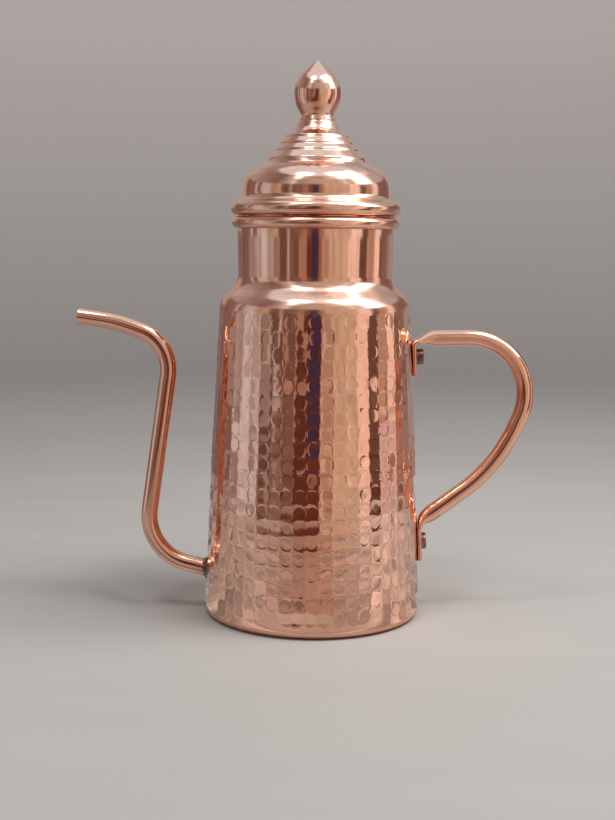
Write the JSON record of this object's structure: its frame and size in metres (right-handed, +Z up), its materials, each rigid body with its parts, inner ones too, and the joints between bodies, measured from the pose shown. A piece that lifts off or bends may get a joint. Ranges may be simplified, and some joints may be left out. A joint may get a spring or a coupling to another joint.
{
  "type": "oil pourer",
  "caption": "Tall tapered hammered copper oil pourer with a bent tube spout, a riveted tube handle and a lift-off ribbed lid with an onion finial.",
  "frame": {"origin": "on the vessel's axis, at the plane of its underside", "axes": "+Z up along the vessel's axis, -X towards the spout, +X towards the handle"},
  "size_m": [0.2181, 0.1038, 0.262],
  "materials": {
    "hammered_copper": "bright copper, planished all over in overlapping hammer marks, lacquered",
    "polished_copper": "spun copper, mirror polished",
    "tube_copper": "drawn copper tube, polished",
    "solder": "dull solder, browned by heat",
    "rivet": "dark brown oxidised metal",
    "rim_wire": "plain galvanised wire, hidden in the rims",
    "fastener": "zinc plated"
  },
  "bodies": {
    "vessel": {"vessel_shell": "hammered_copper", "base_disc": "hammered_copper", "neck_rim_wire": "rim_wire", "spout_tube": "tube_copper", "spout_solder": "solder", "handle_tube": "tube_copper", "handle_rivet_upper": "rivet", "handle_rivet_lower": "rivet", "rivet_burr_upper": "rivet", "rivet_burr_lower": "rivet"},
    "lid": {"lid_dome": "polished_copper", "lid_rim_wire": "rim_wire", "lid_sleeve": "polished_copper", "finial": "polished_copper", "finial_stud": "fastener", "finial_washer": "fastener", "finial_nut": "fastener"}
  },
  "joints": [
    {"name": "lid_lift", "type": "slide", "parent": "vessel", "child": "lid", "axis": [0, 0, 1], "range_m": [0, 0.08]}
  ]
}
